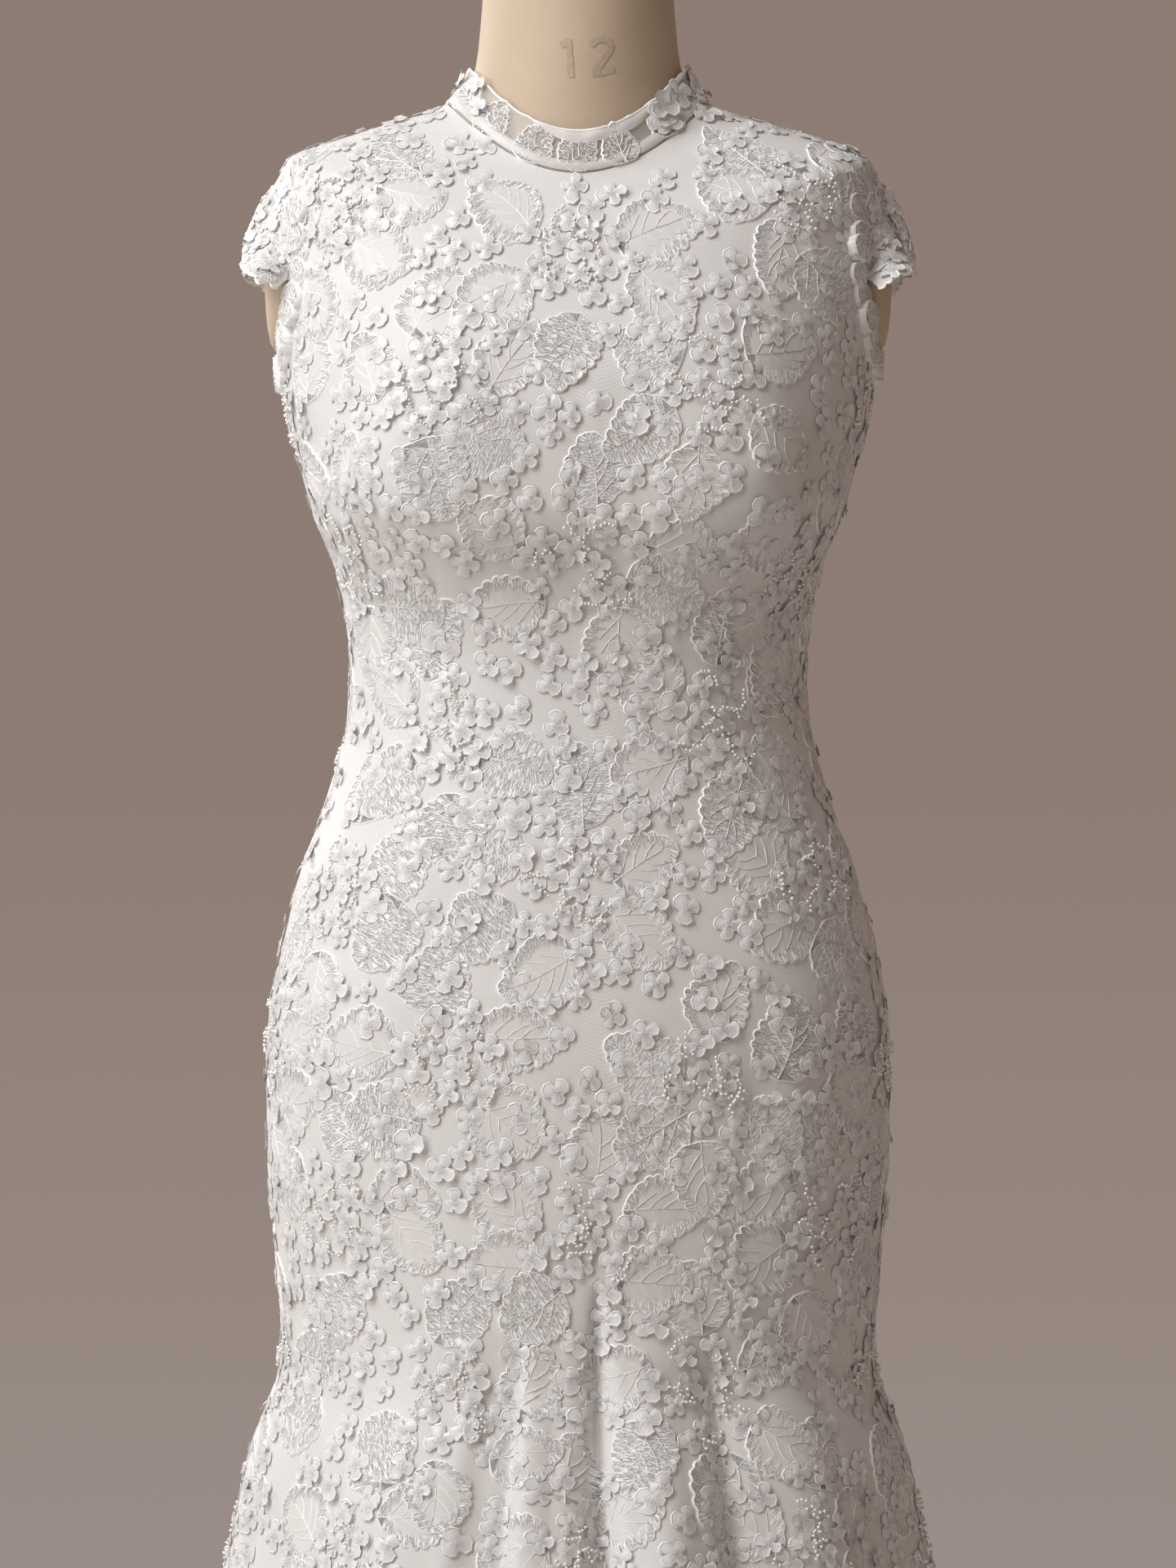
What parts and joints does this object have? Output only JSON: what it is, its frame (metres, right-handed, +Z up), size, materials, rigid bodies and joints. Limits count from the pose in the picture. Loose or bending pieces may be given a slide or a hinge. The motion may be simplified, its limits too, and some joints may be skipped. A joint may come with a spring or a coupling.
{
  "type": "wedding dress on dress form",
  "caption": "Trumpet wedding gown of floral lace with a high net collar, cap sleeves and a fluted floor-length flounce, worn by a limbless dress form on a round stand.",
  "frame": {"origin": "on the floor under the middle of the whole part's box, which is also the stand's axis", "axes": "+Z up, the dress's front faces -Y, the wearer's left is +X"},
  "size_m": [0.7818, 0.78, 1.5393],
  "materials": {
    "lace": "matte ivory tulle over lining, with raised embroidered leaves, organza petals and pearl beads",
    "net": "sheer ivory net with embroidered lace",
    "satin": "soft satin, ivory",
    "canvas": "plain woven linen canvas, cream",
    "wood": "satin varnished beech",
    "steel": "satin steel tube",
    "iron": "black painted cast iron"
  },
  "bodies": {
    "root": {"front_centre": "lace", "front_side_left": "lace", "front_side_right": "lace", "back_left": "lace", "back_right": "lace", "flounce_front_left": "lace", "flounce_front_right": "lace", "flounce_back_left": "lace", "flounce_back_right": "lace", "cap_sleeve_left": "lace", "cap_sleeve_right": "lace", "collar": "net", "neck_binding": "satin", "button_placket": "satin", "button_01": "satin", "button_02": "satin", "button_03": "satin", "button_04": "satin", "button_05": "satin", "button_06": "satin", "button_07": "satin", "button_08": "satin", "button_09": "satin", "button_10": "satin", "button_11": "satin", "button_12": "satin", "button_13": "satin", "button_14": "satin", "button_15": "satin", "button_16": "satin", "button_17": "satin", "button_18": "satin", "button_19": "satin", "button_20": "satin", "form_body": "canvas", "form_arm_plate_left": "canvas", "form_arm_plate_right": "canvas", "form_neck_cap": "wood", "form_base_board": "wood", "stand_pole": "steel", "stand_base": "iron"}
  },
  "joints": []
}
